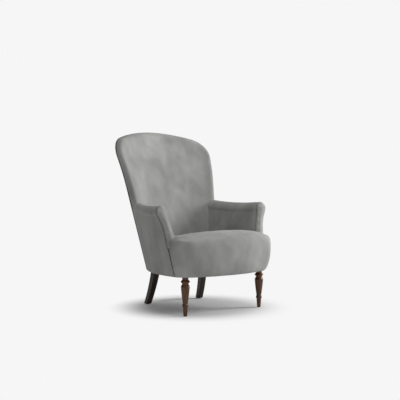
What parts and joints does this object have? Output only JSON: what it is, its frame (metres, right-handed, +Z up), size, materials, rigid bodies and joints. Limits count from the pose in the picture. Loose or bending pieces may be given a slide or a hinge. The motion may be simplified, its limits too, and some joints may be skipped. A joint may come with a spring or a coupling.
{
  "type": "fireside chair",
  "caption": "Upholstered fireside chair with a hollow arched back, short scroll arms, a bow-fronted sprung seat, turned front legs and raked square back legs.",
  "frame": {"origin": "on the floor, under the middle of the chair's bounding box", "axes": "+Z up, the chair faces -Y, +X to the right as seen from the front"},
  "size_m": [0.783, 0.8859, 1.023],
  "materials": {
    "velvet": "short-pile velvet, soft sheen",
    "foam": "cut polyurethane foam",
    "lining": "black non-woven lining",
    "webbing": "elastic webbing",
    "beech": "planed, unfinished",
    "stained_wood": "dark stained, satin lacquer",
    "spring_steel": "oiled wire",
    "zinc_steel": "zinc plated",
    "nylon": "moulded"
  },
  "bodies": {
    "root": {"left_back_post": "beech", "left_side_rail": "beech", "left_arm_rail": "beech", "left_arm_post": "beech", "left_arm_tack_rail": "beech", "left_arm_foam": "foam", "left_inside_arm_cover": "velvet", "left_outside_arm_cover": "velvet", "left_arm_facing": "velvet", "left_front_leg": "stained_wood", "left_back_leg": "stained_wood", "right_back_post": "beech", "right_side_rail": "beech", "right_arm_rail": "beech", "right_arm_post": "beech", "right_arm_tack_rail": "beech", "right_arm_foam": "foam", "right_inside_arm_cover": "velvet", "right_outside_arm_cover": "velvet", "right_arm_facing": "velvet", "right_front_leg": "stained_wood", "right_back_leg": "stained_wood", "crest_rail": "beech", "back_tack_rail": "beech", "front_rail": "beech", "back_rail": "beech", "front_corner_blocks": "beech", "back_corner_blocks": "beech", "frame_dowels": "beech", "inside_back_cover": "velvet", "outside_back_cover": "velvet", "back_welt": "velvet", "seat_cover": "velvet", "back_foam": "foam", "seat_foam": "foam", "back_webbing": "webbing", "seat_springs": "spring_steel", "spring_clips": "zinc_steel", "spring_felt": "lining", "dust_cover": "lining", "leg_bolts": "zinc_steel", "leg_inserts": "zinc_steel", "floor_glides": "nylon"}
  },
  "joints": []
}
